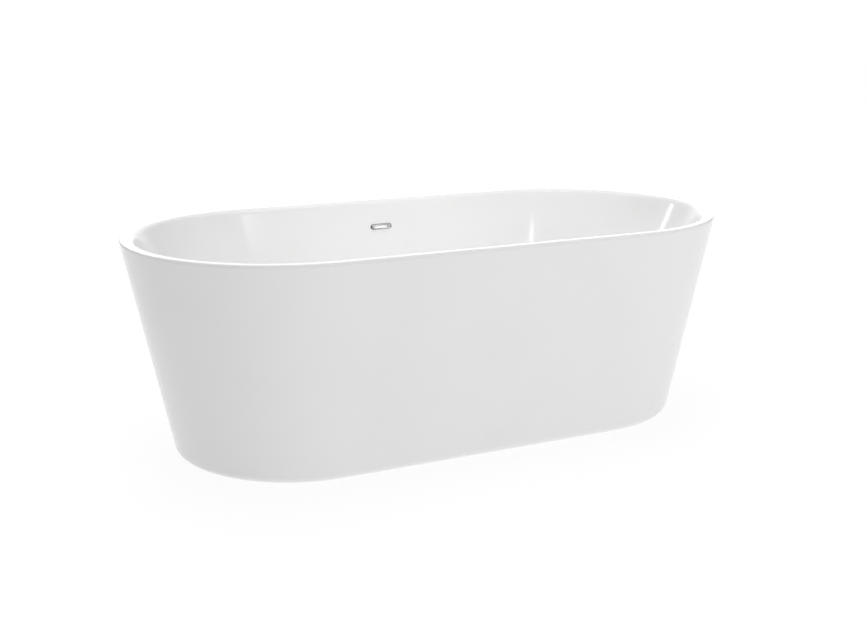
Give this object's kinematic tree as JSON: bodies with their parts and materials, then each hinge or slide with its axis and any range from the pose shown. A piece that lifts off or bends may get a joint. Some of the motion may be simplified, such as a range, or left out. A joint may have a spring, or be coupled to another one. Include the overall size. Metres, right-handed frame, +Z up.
{
  "type": "freestanding bathtub",
  "caption": "Freestanding pill-shaped bathtub with a tapered outer skirt, a slotted overflow, a push-to-open waste and levelling feet.",
  "frame": {"origin": "on the floor under the middle of the tub", "axes": "+X along the tub's length, +Y towards the side with the overflow, +Z up"},
  "size_m": [1.7, 0.85, 0.58],
  "materials": {
    "white_acrylic": "high gloss white",
    "adhesive": "off-white bonding paste",
    "plywood": "raw birch plywood",
    "frame_steel": "galvanised steel tube",
    "zinc_steel": "bright zinc plate",
    "latch_steel": "stainless steel",
    "chrome": "polished chrome plate",
    "rubber": "matt black rubber",
    "white_plastic": "moulded white plastic",
    "black_plastic": "moulded black plastic",
    "hose_plastic": "flexible grey-white plastic"
  },
  "bodies": {
    "tub": {"basin": "white_acrylic", "outer_skirt": "white_acrylic", "rim_bond": "adhesive", "floor_board": "plywood", "rail_front": "frame_steel", "rail_rear": "frame_steel", "cross_tube_1": "frame_steel", "cross_tube_2": "frame_steel", "cross_tube_3": "frame_steel", "cross_tube_4": "frame_steel", "board_screw_1": "zinc_steel", "board_screw_2": "zinc_steel", "board_screw_3": "zinc_steel", "board_screw_4": "zinc_steel", "skirt_bracket_1": "zinc_steel", "skirt_bracket_2": "zinc_steel", "skirt_bracket_3": "zinc_steel", "skirt_bracket_4": "zinc_steel", "lock_nut_1": "zinc_steel", "lock_nut_2": "zinc_steel", "lock_nut_3": "zinc_steel", "lock_nut_4": "zinc_steel", "lock_nut_5": "zinc_steel", "lock_nut_6": "zinc_steel", "waste_flange": "chrome", "overflow_trim": "chrome", "flange_gasket": "rubber", "lower_gasket": "rubber", "outlet_washer": "rubber", "overflow_gasket": "rubber", "waste_tee": "white_plastic", "plug_cartridge": "white_plastic", "outlet_nut": "white_plastic", "overflow_chamber": "white_plastic", "plug_spring": "latch_steel", "overflow_hose": "hose_plastic", "hose_clamp_upper": "zinc_steel", "hose_clamp_lower": "zinc_steel"},
    "plug": {"plug_cap": "chrome", "plug_stem": "latch_steel", "plug_seal": "rubber"},
    "foot_1": {"foot_pad_1": "black_plastic"},
    "stud_1": {"foot_stud_1": "zinc_steel"},
    "foot_2": {"foot_pad_2": "black_plastic"},
    "stud_2": {"foot_stud_2": "zinc_steel"},
    "foot_3": {"foot_pad_3": "black_plastic"},
    "stud_3": {"foot_stud_3": "zinc_steel"},
    "foot_4": {"foot_pad_4": "black_plastic"},
    "stud_4": {"foot_stud_4": "zinc_steel"},
    "foot_5": {"foot_pad_5": "black_plastic"},
    "stud_5": {"foot_stud_5": "zinc_steel"},
    "foot_6": {"foot_pad_6": "black_plastic"},
    "stud_6": {"foot_stud_6": "zinc_steel"}
  },
  "joints": [
    {"name": "plug_lift", "type": "slide", "parent": "tub", "child": "plug", "axis": [0, 0, 1], "range_m": [0, 0.009], "deforming": ["plug_spring"]},
    {"name": "foot_1_lift", "type": "slide", "parent": "tub", "child": "foot_1", "axis": [0, 0, -1], "range_m": [0, 0.02]},
    {"name": "foot_1_turn", "type": "hinge", "parent": "foot_1", "child": "stud_1", "pos_m": [-0.5, -0.195, 0.06], "axis": [0, 0, -1], "range_deg": [0, 4115]},
    {"name": "foot_2_lift", "type": "slide", "parent": "tub", "child": "foot_2", "axis": [0, 0, -1], "range_m": [0, 0.02]},
    {"name": "foot_2_turn", "type": "hinge", "parent": "foot_2", "child": "stud_2", "pos_m": [-0.5, 0.195, 0.06], "axis": [0, 0, -1], "range_deg": [0, 4115]},
    {"name": "foot_3_lift", "type": "slide", "parent": "tub", "child": "foot_3", "axis": [0, 0, -1], "range_m": [0, 0.02]},
    {"name": "foot_3_turn", "type": "hinge", "parent": "foot_3", "child": "stud_3", "pos_m": [0, -0.195, 0.06], "axis": [0, 0, -1], "range_deg": [0, 4115]},
    {"name": "foot_4_lift", "type": "slide", "parent": "tub", "child": "foot_4", "axis": [0, 0, -1], "range_m": [0, 0.02]},
    {"name": "foot_4_turn", "type": "hinge", "parent": "foot_4", "child": "stud_4", "pos_m": [0, 0.195, 0.06], "axis": [0, 0, -1], "range_deg": [0, 4115]},
    {"name": "foot_5_lift", "type": "slide", "parent": "tub", "child": "foot_5", "axis": [0, 0, -1], "range_m": [0, 0.02]},
    {"name": "foot_5_turn", "type": "hinge", "parent": "foot_5", "child": "stud_5", "pos_m": [0.5, -0.195, 0.06], "axis": [0, 0, -1], "range_deg": [0, 4115]},
    {"name": "foot_6_lift", "type": "slide", "parent": "tub", "child": "foot_6", "axis": [0, 0, -1], "range_m": [0, 0.02]},
    {"name": "foot_6_turn", "type": "hinge", "parent": "foot_6", "child": "stud_6", "pos_m": [0.5, 0.195, 0.06], "axis": [0, 0, -1], "range_deg": [0, 4115]}
  ],
  "couplings": [
    {"joint": "foot_1_turn", "follows": "foot_1_lift", "rad_per_m": 3590.4},
    {"joint": "foot_2_turn", "follows": "foot_2_lift", "rad_per_m": 3590.4},
    {"joint": "foot_3_turn", "follows": "foot_3_lift", "rad_per_m": 3590.4},
    {"joint": "foot_4_turn", "follows": "foot_4_lift", "rad_per_m": 3590.4},
    {"joint": "foot_5_turn", "follows": "foot_5_lift", "rad_per_m": 3590.4},
    {"joint": "foot_6_turn", "follows": "foot_6_lift", "rad_per_m": 3590.4}
  ]
}
